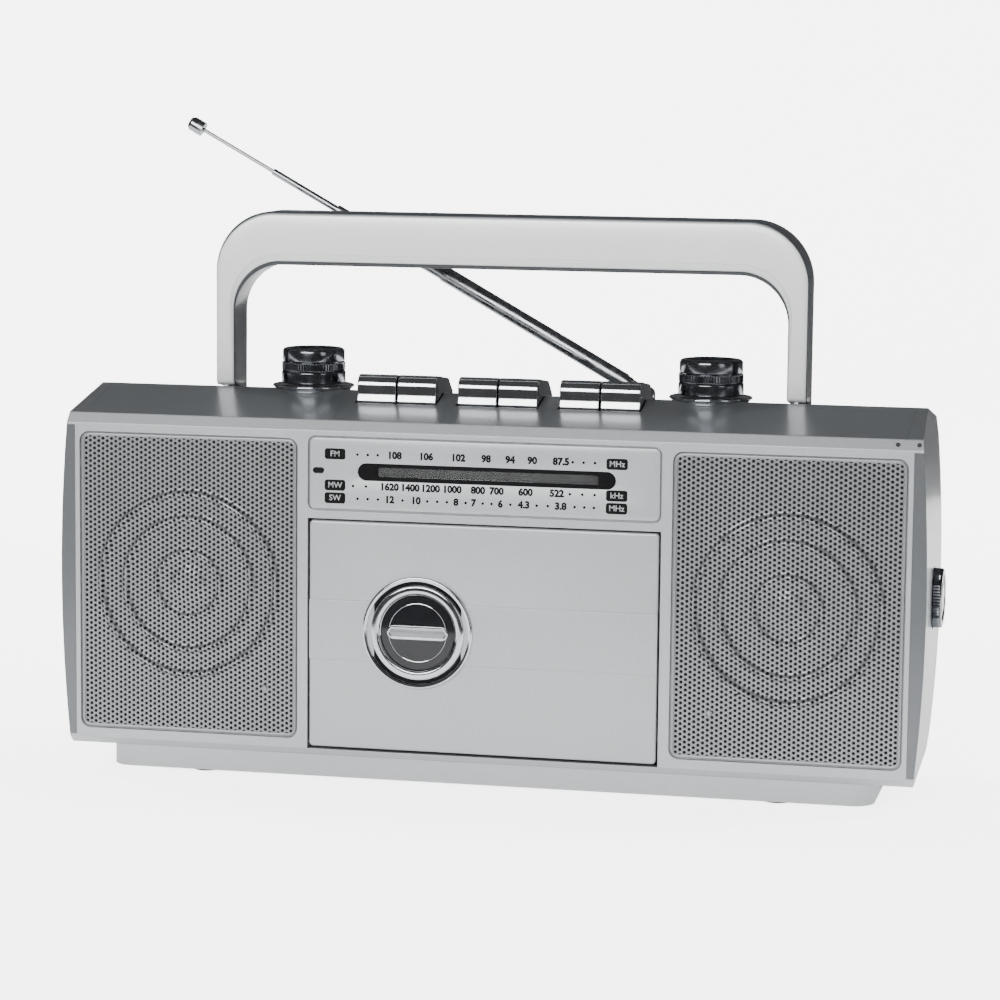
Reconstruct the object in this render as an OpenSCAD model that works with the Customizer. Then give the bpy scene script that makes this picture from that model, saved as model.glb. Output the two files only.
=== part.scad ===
// Portable stereo radio cassette recorder, seen with its front facing -Y and standing on z = 0.

/* [Case] */
// Width across the end caps' top corners
case_w = 350; // [340:1:370]
// Depth from the front bezel to the rear wall
case_d = 88; // [86:1:100]
// Height of the crest of the top cover
crest_z = 157; // [155:1:162]
// Wall thickness of the moulded shells
wall = 3; // [2:0.5:3]
// Distance that each end cap bulges past its top corner
cap_bulge = 2.3; // [1:0.1:5]
// Height of the underside of the case above the table
belly_z = 10.6; // [9:0.1:14]

/* [Front] */
// Half the width of the silver bezel
bezel_half = 171.3; // [168:0.1:171.5]
// Width of a speaker grille
grille_w = 91.5; // [80:0.5:92]
// Height of a speaker grille
grille_h = 122; // [100:1:122]
// Distance from the middle of the case to the middle of a grille
grille_x = 123.05; // [122:0.05:123.1]
// Height of the middle of a grille
grille_z = 79; // [79:0.5:79.5]
// Width of the dial panel and of the cassette door
panel_w = 143.6; // [140:0.1:144]
// Lower and upper edge of the dial panel
dial_z = [112.3, 141.4];
// Lower and upper edge of the cassette door
door_z = [14.6, 107.8];
// Half the length of the pill-shaped dial window
slot_half = 52.8; // [45:0.1:54]
// Middle of the dial window
slot_mid = [1.1, 127.9];
// Middle of the round door window
eye = [-26.3, 63.4];

/* [Handle] */
// Half the outer width of the carrying handle
handle_half = 123.7; // [118:0.1:125]
// Height of the top of the handle
handle_top = 229.8; // [215:0.1:240]
// Width of a handle leg seen from the front
leg_w = 8.1; // [7:0.1:9]
// Height of the grip bar
bar_h = 22; // [16:1:24]
// Depth of the handle from front to back
handle_t = 20; // [12:1:22]

/* [Controls] */
// Distance from the middle to each top knob
knob_x = 83.7; // [82:0.1:84]
// Radius of the lower tier of a top knob
knob_r = 13.3; // [12:0.1:13.5]
// Width of one piano key
key_w = 16.3; // [14:0.1:16.6]
// Length of the aerial from its tilt pivot to the tip
aerial_len = 226.9; // [200:0.1:230]
// Angle of the aerial above the horizontal
aerial_tilt = 29.06; // [10:0.01:60]

/* [Hidden] */
$fn = 48;
eps = 0.01;
front_y = -case_d / 2;
rear_y = case_d / 2;
gap = 0.6;              // shadow gap round a panel in the bezel
run = 0.05;             // radial clearance of a shaft in its bore
free = 0.3;             // clearance between parts that pass each other
shell_half = 168;       // half the length of the extruded shells
cover_z = 145;          // lower edge of the top cover
cover_front = front_y + 2.7;
crest_y = -5;
cover_rear = [38, 149.5]; // rear edge of the cover's rear slope
cap_r = 722;            // crown radius of an end cap
cap_mid_z = 82;
cap_taper = 1.25;       // degrees by which an end cap draws in towards the rear
hub_x = [-25.85, 16.65];
hub_z = 63.7;
plate_y = [-24, -22.5]; // front and back of the deck plate
capstan = [30, 90];
motor = [-38, 116];
belt_y = -17.5;
wheel_r = 21.5;
pulley_r = 4.5;
pocket_x = [-55.3, 46.1];
pocket_z = [34, 97];
pocket_y = [-40.4, -28.2];
door_pin = [-42.6, 16.2];
door_y = [front_y - 0.2, front_y + 2.8];
key_pin = [9, 148.5];
key_pitch = 42.2;
key_gap = 0.6;
key_y = [-19, 12];
handle_front = -4;
handle_low = 150;       // the legs are drawn down to here, then cut
bend = [25, 20];        // outer and inner radius of the handle's corners
foot_r = 4;             // rounding of a handle leg about its pivot
handle_pin = [handle_front + foot_r, 161.1];
handle_pin_r = 1.6;
leg_x = handle_half - leg_w / 2;
ear_t = 1.6;
ear_stem = 3;           // half the depth of the stem that carries an ear
knob_y = 5;
saucer_z = 158.2;
wheel_pin = [0, 80];    // y and z of the tuning wheel's axis
pointer_rest = -47;     // the pointer parks behind the closed end of the dial window
aerial_pin = [52.5, 32, 155.2];
bay_x = 126;
bay_y = [7, 41];
bay_z = [14, 51.6];
hatch_z = [18, 52];
hatch_pin = [40.4, 19.4];
inlet = [-150, 75];
screw_points = [for (x = [-160, -60, 40, 160], z = [59, 134]) [x, z]];

// Outline of the case in Y and Z, anticlockwise from the front foot of the bezel.
case_outline = [
  [front_y + 3, belly_z], [34, belly_z], [42, 17], [rear_y, 40], [rear_y, 141], cover_rear,
  [crest_y, crest_z], [cover_front, 148.2], [front_y, 144], [front_y, 13.6]
];

function unit(v) = v / norm(v);
// Each corner moves inwards by t along both of its edges' normals.
function inset(p, t) = [
  for (i = [0 : len(p) - 1])
    let (
      u = unit(p[i] - p[(i + len(p) - 1) % len(p)]),
      v = unit(p[(i + 1) % len(p)] - p[i]),
      m = [-u.y, u.x],
      n = [-v.y, v.x]
    )
    p[i] + t * (m + n) / (1 + m * n)
];
// Points of an arc about c from angle a to b.
function arc(c, r, a, b, n = 6) = [
  for (i = [0 : n]) let (t = a + (b - a) * i / n) c + r * [cos(t), sin(t)]
];

// ---- Helpers ----

// Extrudes a Y-Z outline along X between two positions.
module along_x(x0, x1) {
  translate([x0, 0, 0]) rotate([90, 0, 90]) linear_extrude(x1 - x0) children();
}
// Extrudes an X-Z outline along Y between two positions.
module along_y(y0, y1) {
  translate([0, y1, 0]) rotate([90, 0, 0]) linear_extrude(y1 - y0) children();
}
// Block between two corners.
module block(a, b) { translate(a) cube(b - a); }
// Rectangle between two corners with rounded corners.
module soft_rect(a, b, r) {
  translate([a.x + r, a.y]) square([b.x - a.x - 2 * r, b.y - a.y]);
  translate([a.x, a.y + r]) square([b.x - a.x, b.y - a.y - 2 * r]);
  for (x = [a.x + r, b.x - r], y = [a.y + r, b.y - r]) translate([x, y]) circle(r);
}
// Rod along Y, X or Z.
module rod_y(p, r, y0, y1) { translate([p.x, y0, p.y]) rotate([-90, 0, 0]) cylinder(r = r, h = y1 - y0); }
module rod_x(p, r, x0, x1) { translate([x0, p.x, p.y]) rotate([0, 90, 0]) cylinder(r = r, h = x1 - x0); }
module rod_z(p, r, z0, z1) { translate([p.x, p.y, z0]) cylinder(r = r, h = z1 - z0); }

module case_solid(t = 0, half = shell_half) { along_x(-half, half) polygon(inset(case_outline, t)); }
module shell() {
  difference() {
    case_solid();
    case_solid(wall, shell_half + 1);
  }
}
module cover_zone() { block([-200, cover_front, cover_z], [200, 60, 200]); }
module each_side() { children(); mirror([1, 0, 0]) children(); }

module grille_outline(grow = 0) {
  soft_rect([-grille_w / 2 - grow, -grille_h / 2 - grow], [grille_w / 2 + grow, grille_h / 2 + grow], 3.5 + grow);
}
module dial_outline(grow = 0) {
  soft_rect([-panel_w / 2 - grow, dial_z.x - grow], [panel_w / 2 + grow, dial_z.y + grow], 2.4 + grow);
}
module pill(half, r) {
  translate([-half + r, -r]) square([2 * (half - r), 2 * r]);
  for (s = [-1, 1]) translate([s * (half - r), 0]) circle(r);
}

// ---- Case ----

// Crowned block at one end; the crown's axis runs along Y and turns inwards towards the rear.
module end_blank(x0) {
  intersection() {
    along_x(x0, case_w / 2 + 5) polygon(case_outline);
    translate([case_w / 2 + cap_bulge - cap_r, front_y, cap_mid_z])
      rotate([-90, 0, cap_taper]) translate([0, 0, -40]) cylinder(r = cap_r, h = case_d + 80, $fn = 360);
  }
}
// The bezel's upper and lower chamfers run on to the very ends, in front of the end caps.
module chamfer_ends(grow = 0) {
  block([shell_half - 1, front_y - 10, 143.2 - grow], [200, cover_front + grow, 160]);
  block([shell_half - 1, front_y - 10, 0], [200, front_y + 3 + grow, 14.4 + grow]);
}

module front_bezel() {
  color("gainsboro") difference() {
    union() {
      difference() {
        intersection() {
          shell();
          block([-200, -60, 0], [200, front_y + 6, 200]);
        }
        cover_zone();
      }
      // the front plate runs out past the shell to the end caps
      each_side() block([shell_half - eps, front_y, 13.6], [bezel_half, front_y + wall, 144]);
      each_side() intersection() {
        end_blank(shell_half - eps);
        chamfer_ends();
      }
      // bosses for the deck posts
      each_side() for (z = [24, 100]) rod_y([76.2, z], 2.6, front_y + wall - eps, front_y + wall + 2);
    }
    for (s = [-1, 1]) translate([s * grille_x, 0, grille_z]) {
      along_y(front_y - 1, front_y + 1.8) grille_outline(gap);
      rod_y([0, 0], 36.5, front_y - 1, front_y + 5);
    }
    along_y(front_y - 1, front_y + 1.8) dial_outline(gap);
    along_y(front_y - 1, front_y + 5) translate([0, slot_mid.y]) square([2 * slot_half + 6, 17], center = true);
    block([-panel_w / 2 - gap, front_y - 1, door_z.x - 1], [panel_w / 2 + gap, front_y + 7, door_z.y + gap]);
    rod_x(door_pin, 1 + run, -panel_w / 2 - 2.8, panel_w / 2 + 2.8);
    rod_y([164.7, 146.1], 0.8, front_y - 1, front_y + 7);
  }
}

module handle_ear_cut() {
  each_side() block([leg_x - ear_t / 2, handle_pin.x - ear_stem - run, 140],
                    [leg_x + ear_t / 2, handle_pin.x + ear_stem + run, 170]);
}

module top_cover() {
  color("dimgray") difference() {
    union() {
      intersection() {
        shell();
        cover_zone();
      }
      rod_z([aerial_pin.x, aerial_pin.y], 9, cover_z + 1, 150.2);
      each_side() rod_z([knob_x, knob_y], 8, 149, 153.5);
    }
    for (n = [-1, 0, 1])
      block([n * key_pitch - key_w - 0.8, -20.4, 140], [n * key_pitch + key_w + 0.8, 12.6, 170]);
    each_side() rod_z([knob_x, knob_y], 4.6, 140, 170);
    rod_z([aerial_pin.x, aerial_pin.y], 9.5, 150.2, 170);
    rod_z([aerial_pin.x, aerial_pin.y], 3 + run, 140, 170);
    handle_ear_cut();
  }
}

module rear_cabinet() {
  color("slategray") difference() {
    union() {
      difference() {
        intersection() {
          shell();
          block([-200, front_y + 6, 0], [200, 60, cover_z]);
        }
        // window of the battery hatch
        block([-bay_x, 38, hatch_z.x - 0.8], [bay_x, 60, hatch_z.y + 0.6]);
      }
      // battery tray
      intersection() {
        difference() {
          block([-bay_x - 2, bay_y.x - 2, belly_z], [bay_x + 2, 60, bay_z.y + 3]);
          block([-bay_x, bay_y.x, bay_z.x], [bay_x, 60, hatch_z.y + 0.6]);
        }
        case_solid();
      }
    }
    rod_x(hatch_pin, 1 + run, -bay_x - 1.8, bay_x + 1.8);
    // mains inlet, rear vents and screw holes
    block([inlet.x - 11.2, 30, inlet.y - 7.2], [inlet.x + 11.2, 60, inlet.y + 7.2]);
    for (i = [-6 : 6]) block([100 + 7 * i / 1.5 - 1.2, 35, 96], [100 + 7 * i / 1.5 + 1.2, 60, 126]);
    for (p = screw_points) {
      rod_y(p, 1.6, 30, 60);
      rod_y(p, 3.4, rear_y - 1.6, 60);
    }
  }
}

module end_cap() {
  difference() {
    end_blank(shell_half + 0.02);
    along_x(shell_half - 1, shell_half + 2.2) polygon(inset(case_outline, wall));
    block([shell_half - 1, front_y - 1, 13.5], [bezel_half + 0.05, front_y + wall + 0.05, 144.2]);
    chamfer_ends(0.05);
  }
}
module end_cap_left() {
  color("dimgray") difference() {
    mirror([1, 0, 0]) end_cap();
    rod_x([10, 60], 4.1, -200, -160);
  }
}
module end_cap_right() {
  color("dimgray") difference() {
    end_cap();
    rod_x(wheel_pin, 12.8, 174.6, 200);
    rod_x(wheel_pin, 3.1, 160, 200);
  }
}

module base_tray() {
  color("gainsboro") difference() {
    translate([0, 0, 1.5]) linear_extrude(belly_z - 1.5 - 0.02) soft_rect([-158, -40.5], [158, 33], 9);
    translate([0, 0, 4]) linear_extrude(10) soft_rect([-155, -37.5], [155, 30], 7);
    for (x = [-119, 119], y = [-30, 24]) rod_z([x, y], 3, 0, 10);
  }
}

module rubber_feet() {
  color("#333333") for (x = [-119, 119], y = [-30, 24]) {
    rod_z([x, y], 6, 0, 1.5);
    rod_z([x, y], 2.9, 1.5, 5);
  }
}

// ---- Speakers ----

module ring_bead(r, w, h) {
  rotate_extrude() translate([r, 0]) intersection() {
    translate([0, h - w * w / (8 * h) - h / 2]) circle(w * w / (8 * h) + h / 2);
    translate([-w, 0]) square([2 * w, 2 * h]);
  }
}
module grille() {
  along_y(front_y + 0.5, front_y + 1.7) grille_outline();
  translate([0, front_y + 0.5 + eps, 0]) rotate([90, 0, 0]) {
    ring_bead(37, 6, 1.2);
    ring_bead(27, 5, 1.0);
    ring_bead(13.5, 4, 0.8);
    cylinder(r1 = 8, r2 = 5, h = 1.2);
  }
}
module grille_left() { color("darkgray") translate([-grille_x, 0, grille_z]) grille(); }
module grille_right() { color("darkgray") translate([grille_x, 0, grille_z]) grille(); }

// Half outline of the pressed basket: radius and depth behind the bezel.
module speaker_frames() {
  color("#707478") for (s = [-1, 1]) translate([s * grille_x, front_y + wall + 0.05, grille_z])
    rotate([-90, 0, 0]) rotate_extrude() polygon([
      [36, 0], [40, 0], [40, 1.5], [37, 1.5], [33.5, 9], [20, 17], [20, 18.2], [9, 18.2], [9, 17],
      [19, 17], [32.3, 8.2], [36, 1.2]
    ]);
}
module speaker_cones() {
  color("#3a3a3a") for (s = [-1, 1]) translate([s * grille_x, front_y + wall + 0.3, grille_z])
    rotate([-90, 0, 0]) rotate_extrude() polygon([
      [0, 8], [5, 8.6], [9, 11], [30, 2.6], [32, 1.2], [34.4, 0.8], [34.4, 1.8], [32.4, 2.2], [30.6, 3.8],
      [9.4, 12.6], [8, 12.6], [4, 9.8], [0, 9.2]
    ]);
}
module speaker_magnets() {
  color("#2e2e30") for (s = [-1, 1]) {
    rod_y([s * grille_x, grille_z], 20, -22.7, -14);
    rod_y([s * grille_x, grille_z], 15, -14 - eps, -12);
  }
}

// ---- Dial ----

module dial_panel() {
  color("gainsboro") along_y(front_y + 0.3, front_y + 1.7) difference() {
    dial_outline();
    translate(slot_mid) pill(slot_half, 3.75);
  }
}
module dial_lens() {
  color("gray", 0.5) along_y(front_y + 0.7, front_y + 1.6) translate(slot_mid) pill(slot_half - 0.1, 3.65);
}
module dial_scale() {
  color("#50545a") {
    block([-58, front_y + 4.6, slot_mid.y - 11], [58, front_y + 5.4, slot_mid.y + 11]);
    each_side() for (z = [-10.5, 8.7])
      block([56.4, front_y + wall + 0.05, slot_mid.y + z], [58, front_y + 4.6, slot_mid.y + z + 1.8]);
  }
}
module dial_pointer() {
  color("orangered") translate([pointer_rest, front_y + 3.1, slot_mid.y - 7.6]) {
    translate([-0.6, 0, 0]) cube([1.2, 0.8, 15.2]);
    translate([-3, 0, 0]) cube([6, 0.8, 2.6]);
  }
}

// ---- Cassette door ----

module cassette_door() {
  y0 = door_y.x;
  color("gainsboro") difference() {
    union() {
      along_x(-panel_w / 2 + 0.1, panel_w / 2 - 0.1) polygon([
        [y0 + 0.9, door_z.x], [door_y.y, door_z.x], [door_y.y, door_z.y], [y0 + 1.2, door_z.y],
        [y0, door_z.y - 1.4], [y0, 75.8], [y0 - 0.4, 75.4], [y0 - 0.4, 50.8], [y0, 50.4], [y0, door_z.x + 0.9]
      ]);
      rod_x(door_pin, 1, -panel_w / 2 - 2.2, panel_w / 2 + 2.2);
    }
    rod_y(eye, 16.9, -60, -30);
  }
}
module door_ring() {
  color("silver") translate([eye.x, 0, eye.y]) rotate([90, 0, 0]) translate([0, 0, -door_y.x + 0.42])
    rotate_extrude() polygon([[16.9, 0], [22.9, 0], [22.6, 0.9], [21.3, 1.4], [19.4, 1.3], [17.4, 0.4], [16.9, 0.3]]);
}
module door_window() {
  color("#26282c", 0.8) {
    rod_y(eye, 16.8, door_y.x + 0.6, door_y.x + 2.0);
    along_y(door_y.x + 0.1, door_y.x + 0.6) translate(eye) pill(12.5, 2.85);
  }
}
module cassette_holder() {
  color("#5a5d62") difference() {
    union() {
      block([pocket_x.x - 1.2, door_y.y + 0.02, pocket_z.x - 1.2], [pocket_x.y + 1.2, pocket_y.x, pocket_z.y]);
      for (x = [pocket_x.x - 1.2, pocket_x.y])
        block([x, pocket_y.x - eps, pocket_z.x - 1.2], [x + 1.2, pocket_y.y + 1, pocket_z.y]);
      for (x = [pocket_x.x - 1.2, pocket_x.y - 3])
        block([x, pocket_y.y, pocket_z.x - 1.2], [x + 4.2, pocket_y.y + 1, pocket_z.y]);
      block([pocket_x.x - 1.2, pocket_y.x - eps, pocket_z.x - 1.2], [pocket_x.y + 1.2, pocket_y.y + 1, pocket_z.x]);
    }
    rod_y(eye, 16.9, -60, -30);
  }
}

// ---- Tape deck ----

module deck_chassis() {
  color("lightsteelblue") difference() {
    union() {
      block([-79, plate_y.x, 20], [79, plate_y.y, 141]);
      each_side() for (z = [24, 100]) rod_y([76.2, z], 2.4, front_y + wall + 2.02, plate_y.x + eps);
      rod_y(capstan, 3, plate_y.y - eps, -19.4);
      for (x = [-15, 15]) rod_y([motor.x + x, motor.y], 1.5, plate_y.y - eps, -13);
      // key brackets reach back to the key shaft
      each_side() {
        block([60, plate_y.x, 132], [61.5, 12.5, 141 + eps]);
        block([60, 5.5, 141], [61.5, 12.5, 150.6]);
      }
    }
    for (x = hub_x) rod_y([x, hub_z], 4 + run, -30, -15);
    rod_y(capstan, 1 + run, -30, -15);
    rod_x(key_pin, 1.52, -70, 70);
  }
}
module reel(x) {
  rod_y([x, hub_z], 4, -33.6, -20.2);
  translate([x, -33.6, hub_z]) rotate([90, 0, 0]) cylinder(r1 = 4, r2 = 2, h = 2);
  for (i = [0 : 5]) translate([x, 0, hub_z]) rotate([0, 60 * i, 0]) block([3, -33, -0.5], [4.9, -28, 0.5]);
  rod_y([x, hub_z], 9, -22.2, -20.2);
}
module supply_reel() { color("ivory") reel(hub_x.x); }
module take_up_reel() { color("ivory") reel(hub_x.y); }
module flywheel() {
  color("silver") {
    rod_y(capstan, 1, -35.6, -14.4);
    difference() {
      rod_y(capstan, wheel_r + 1, -18.9, -14.5);
      translate([capstan.x, belt_y, capstan.y]) rotate([90, 0, 0]) difference() {
        cylinder(r = wheel_r + 2, h = 1.8, center = true);
        cylinder(r = wheel_r, h = 2, center = true);
      }
      for (i = [0 : 4]) rod_y(capstan + 13 * [cos(72 * i), sin(72 * i)], 4, -20, -10);
    }
  }
}
module drive_motor() {
  color("silver") difference() {
    union() {
      rod_y(motor, 17, -13, 10);
      rod_y(motor, 4, -14.6, -13 + eps);
    }
    rod_y(motor, 1 + run, -20, -4);
  }
}
module motor_pulley() {
  color("goldenrod") {
    rod_y(motor, 1, -19.6, -5);
    difference() {
      rod_y(motor, pulley_r + 1, -19.4, -15.4);
      translate([motor.x, belt_y, motor.y]) rotate([90, 0, 0]) difference() {
        cylinder(r = pulley_r + 2, h = 1.8, center = true);
        cylinder(r = pulley_r, h = 2, center = true);
      }
    }
  }
}
module belt_loop(t) {
  hull() {
    translate(capstan) circle(wheel_r + 0.1 + t);
    translate(motor) circle(pulley_r + 0.1 + t);
  }
}
module drive_belt() {
  color("#222222") along_y(belt_y - 0.5, belt_y + 0.5) difference() {
    belt_loop(0.9);
    belt_loop(0);
  }
}
roller = [capstan.x, 102.9];
module head_carriage() {
  color("lightsteelblue") difference() {
    union() {
      block([-40, -26.4, 99.6], [44, -25.2, 117]);
      block([-11.5, -29.5, 107.4], [2.3, -26.4 + eps, 108.6]);
      rod_y(roller, 1.5, -36.4, -26.4 + eps);
    }
    for (x = [-30, 8]) block([x, -30, 110], [x + 3, -20, 116]);
  }
}
module tape_head() {
  color("silver") difference() {
    block([-10.6, -38, 99.6], [1.4, -26.42, 107.38]);
    block([-5.2, -39, 99], [-4, -29.5, 100.4]);
  }
}
module pinch_roller() {
  color("#2b2b2b") difference() {
    rod_y(roller, 6.5, -35.6, -28.6);
    rod_y(roller, 1.5 + run, -40, -20);
  }
}

// ---- Keys ----

module key_shaft() { color("silver") rod_x(key_pin, 1.5, -61.5, 61.5); }
// n counts the six keys from the left; each pair has its own opening in the cover.
module key(n) {
  x0 = key_pitch * (floor(n / 2) - 1) + (n % 2 == 0 ? -key_w - key_gap / 2 : key_gap / 2);
  color("silver") difference() {
    union() {
      along_x(x0, x0 + key_w) polygon(concat(
        [[key_y.x, 151.6], [7, 152.2], [7, 151], [11.6, 151], [key_y.y, 156.6], [4, 162.2]],
        arc([key_y.x + 5, 159.6], 5, 90, 180)
      ));
      rod_x(key_pin, 3.2, x0, x0 + key_w);
      // tail that works the deck's slides
      block([x0 + key_w / 2 - 2, -10, 143.5], [x0 + key_w / 2 + 2, -7, 152]);
    }
    rod_x(key_pin, 1.5 + run, -70, 70);
  }
}
module key_record() { key(0); }
module key_play() { key(1); }
module key_rewind() { key(2); }
module key_forward() { key(3); }
module key_stop() { key(4); }
module key_pause() { key(5); }

// ---- Top knobs ----

module knob_saucers() {
  color("silver") difference() {
    each_side() translate([knob_x, knob_y, 0]) difference() {
      union() {
        translate([0, 0, 146]) cylinder(r = 15.4, h = saucer_z - 146);
        translate([0, 0, saucer_z - 1.6]) cylinder(r1 = 16.2, r2 = 17, h = 0.8);
        translate([0, 0, saucer_z - 0.8 - eps]) cylinder(r1 = 17, r2 = 16.2, h = 0.8 + eps);
      }
      cylinder(r = 4.8, h = 200);
    }
    case_solid(-0.02);
  }
}
module top_knob() {
  difference() {
    union() {
      rod_z([0, 0], knob_r, saucer_z + 0.4, 165.4);
      rod_z([0, 0], knob_r - 0.9, 165.4 - eps, 166.6);
      rod_z([0, 0], knob_r - 0.2, 166.6 - eps, 172);
      translate([0, 0, 172 - eps]) cylinder(r1 = knob_r - 0.4, r2 = knob_r - 1.6, h = 1.2);
    }
    rod_z([0, 0], knob_r - 3, 172.4, 180);
    for (i = [0 : 23]) rotate([0, 0, 15 * i]) translate([knob_r + 0.35, 0, saucer_z + 1.2]) cylinder(r = 0.8, h = 5.4, $fn = 13);
  }
  rod_z([0, 0], 3, 142, saucer_z + 1);
}
module volume_knob() { color("#4a4c50") translate([-knob_x, knob_y, 0]) top_knob(); }
module band_knob() { color("#4a4c50") translate([knob_x, knob_y, 0]) top_knob(); }
module volume_control() {
  color("#6a5a48") translate([-knob_x, knob_y, 0]) difference() {
    union() {
      rod_z([0, 0], 8.5, 136, 144.6);
      rod_z([0, 0], 4.5, 144.6 - eps, 157);
    }
    rod_z([0, 0], 3 + run, 141, 160);
  }
}
module band_switch() {
  color("#6a5a48") translate([knob_x, knob_y, 0]) difference() {
    union() {
      block([-12, -9, 136], [12, 9, 144.6]);
      rod_z([0, 0], 4.5, 144.6 - eps, 157);
    }
    rod_z([0, 0], 3 + run, 141, 160);
  }
}
module tuning_wheel() {
  color("#4a4c50") {
    difference() {
      union() {
        rod_x(wheel_pin, 12, 175.2, 179.8);
        translate([179.8 - eps, wheel_pin.x, wheel_pin.y]) rotate([0, 90, 0]) cylinder(r1 = 12, r2 = 11, h = 1.2);
      }
      for (i = [0 : 23])
        rod_x(wheel_pin + 12.4 * [cos(15 * i), sin(15 * i)], 0.7, 174, 182);
    }
    rod_x(wheel_pin, 3, 160.5, 175.2 + eps);
  }
}
module tuning_capacitor() {
  color("tan") difference() {
    union() {
      block([144, wheel_pin.x - 12, wheel_pin.y - 12], [160, wheel_pin.x + 12, wheel_pin.y + 12]);
      rod_x(wheel_pin, 5, 160 - eps, 166);
    }
    rod_x(wheel_pin, 3 + run, 156, 170);
  }
}

// ---- Handle ----

// Area of half-width half that reaches up to top, its upper corners rounded by r.
module arch(half, top, r, bottom) {
  translate([-half, bottom]) square([2 * half, top - r - bottom]);
  translate([-half + r, bottom]) square([2 * (half - r), top - bottom]);
  for (s = [-1, 1]) translate([s * (half - r), top - r]) circle(r);
}
module handle_outline() {
  difference() {
    arch(handle_half, handle_top, bend[0], handle_low);
    arch(handle_half - leg_w, handle_top - bar_h, bend[1], handle_low - 1);
  }
}
// A leg seen from the side: rounded about the pivot in front, cut parallel to the cover behind.
module leg_side() {
  fall = (crest_z - cover_rear.y) / (cover_rear.x - crest_y);
  a = 180 + atan(1 / fall);
  low = handle_pin + foot_r * [cos(a), sin(a)];
  rear = handle_front + handle_t;
  polygon(concat(
    arc(handle_pin, foot_r, 180, a),
    [[rear, low.y - fall * (rear - low.x)], [rear, handle_top], [handle_front, handle_top]]
  ));
}
module carry_handle() {
  slot = ear_t / 2 + free;
  color("gainsboro") {
    difference() {
      intersection() {
        along_y(handle_front, handle_front + handle_t) handle_outline();
        along_x(-handle_half - 1, handle_half + 1) leg_side();
      }
      // slots that the ears stand in, open to the front for the fold
      each_side() {
        rod_x(handle_pin, foot_r + 0.4, leg_x - slot, leg_x + slot);
        for (c = [[handle_pin.x + ear_stem + free, handle_pin.y], [handle_pin.x, handle_pin.y + foot_r + 0.4]])
          block([leg_x - slot, handle_front - 1, handle_low], [leg_x + slot, c.x, c.y]);
      }
    }
    each_side() rod_x(handle_pin, handle_pin_r, leg_x - leg_w / 2 + 1, leg_x + leg_w / 2 - 1);
  }
}
module handle_ears() {
  side = ear_t / 2 - 0.02;
  color("silver") each_side() difference() {
    union() {
      rod_x(handle_pin, foot_r - 0.6, leg_x - side, leg_x + side);
      block([leg_x - side, handle_pin.x - ear_stem, 148], [leg_x + side, handle_pin.x + ear_stem, handle_pin.y]);
      block([leg_x - 4.5, handle_pin.x - ear_stem, 148], [leg_x + 4.5, handle_pin.x + ear_stem, 150]);
    }
    rod_x(handle_pin, handle_pin_r + run, 0, 200);
  }
}

// ---- Aerial: sections are drawn along +X from the tilt pivot and turned into place ----

module along_aerial() {
  translate(aerial_pin) rotate([0, 180 + aerial_tilt, 0]) children();
}
module section(a, b, r_out, r_in) {
  translate([a, 0, 0]) rotate([0, 90, 0]) difference() {
    cylinder(r = r_out, h = b - a);
    translate([0, 0, -1]) cylinder(r = r_in, h = b - a + 2);
  }
}
module aerial_swivel() {
  color("silver") translate(aerial_pin) difference() {
    union() {
      translate([0, 0, -14]) cylinder(r = 3, h = 10);
      translate([0, 0, -4.7]) cylinder(r = 7, h = 1.2);
      for (s = [-1, 1]) {
        translate([-3, s * 3.65 - 0.85, -3.6]) cube([6, 1.7, 3.6]);
        translate([0, s * 3.65 + 0.85, 0]) rotate([90, 0, 0]) cylinder(r = 3, h = 1.7);
      }
    }
    rotate([90, 0, 0]) cylinder(r = 1 + run, h = 20, center = true);
  }
}
module aerial_lower() {
  color("silver") along_aerial() {
    rotate([90, 0, 0]) cylinder(r = 3, h = 5, center = true);
    translate([0, -1.8, -2.4]) cube([9, 3.6, 4.8]);
    rotate([90, 0, 0]) cylinder(r = 1, h = 9.2, center = true);
    translate([8, 0, 0]) rotate([0, 90, 0]) cylinder(r = 3, h = 2.5);
    // the stout base tube, and the mouth of the next one that stands fixed in it
    section(10.4, 99.5, 3.4, 2.3);
    section(99.5 - eps, 125, 3, 2.3);
  }
}
module aerial_middle() { color("silver") along_aerial() section(43, 153, 2.2, 1.55); }
module aerial_upper() { color("silver") along_aerial() section(77, 185, 1.45, 0.9); }
module aerial_tip() {
  color("silver") along_aerial() {
    translate([114.4, 0, 0]) rotate([0, 90, 0]) cylinder(r = 0.8, h = aerial_len - 120);
    translate([aerial_len - 6.5, 0, 0]) rotate([0, 90, 0]) cylinder(r = 3.1, h = 5.3);
    translate([aerial_len - 1.2 - eps, 0, 0]) rotate([0, 90, 0]) cylinder(r1 = 3.1, r2 = 2.2, h = 1.2 + eps);
  }
}

// ---- Electrics ----

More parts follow.
